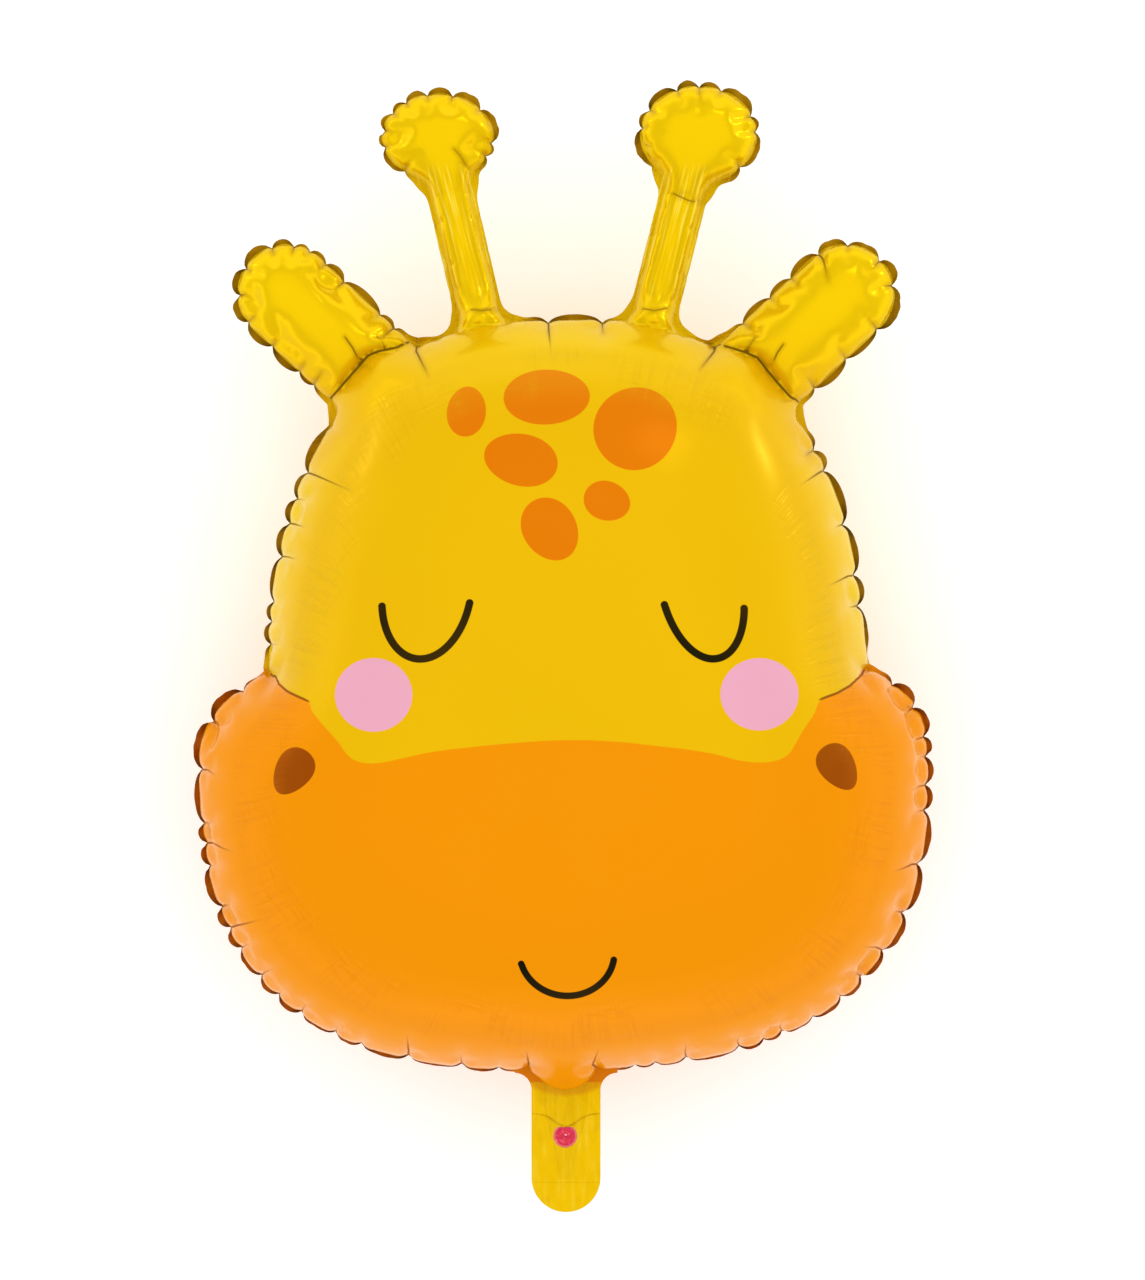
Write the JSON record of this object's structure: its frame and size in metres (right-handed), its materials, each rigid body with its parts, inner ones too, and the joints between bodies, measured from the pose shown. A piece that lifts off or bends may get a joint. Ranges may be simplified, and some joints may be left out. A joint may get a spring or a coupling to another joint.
{
  "type": "giraffe foil balloon",
  "caption": "Inflated foil party balloon shaped as a giraffe's head with ears, knobbed horns and a flat filling tail, lying on its back with its printed face up.",
  "frame": {"origin": "middle of the object's footprint, at the height of the flat spot on its back that it rests on", "axes": "+X to the right of the picture, +Y up the face from the tail to the horns, +Z out of the printed face"},
  "size_m": [0.6756, 1.0314, 0.363],
  "materials": {
    "printed_foil": "glossy metallised film, printed yellow and orange",
    "valve_film": "glossy thin film"
  },
  "bodies": {
    "root": {"foil_envelope": "printed_foil", "valve_film": "valve_film"}
  },
  "joints": []
}
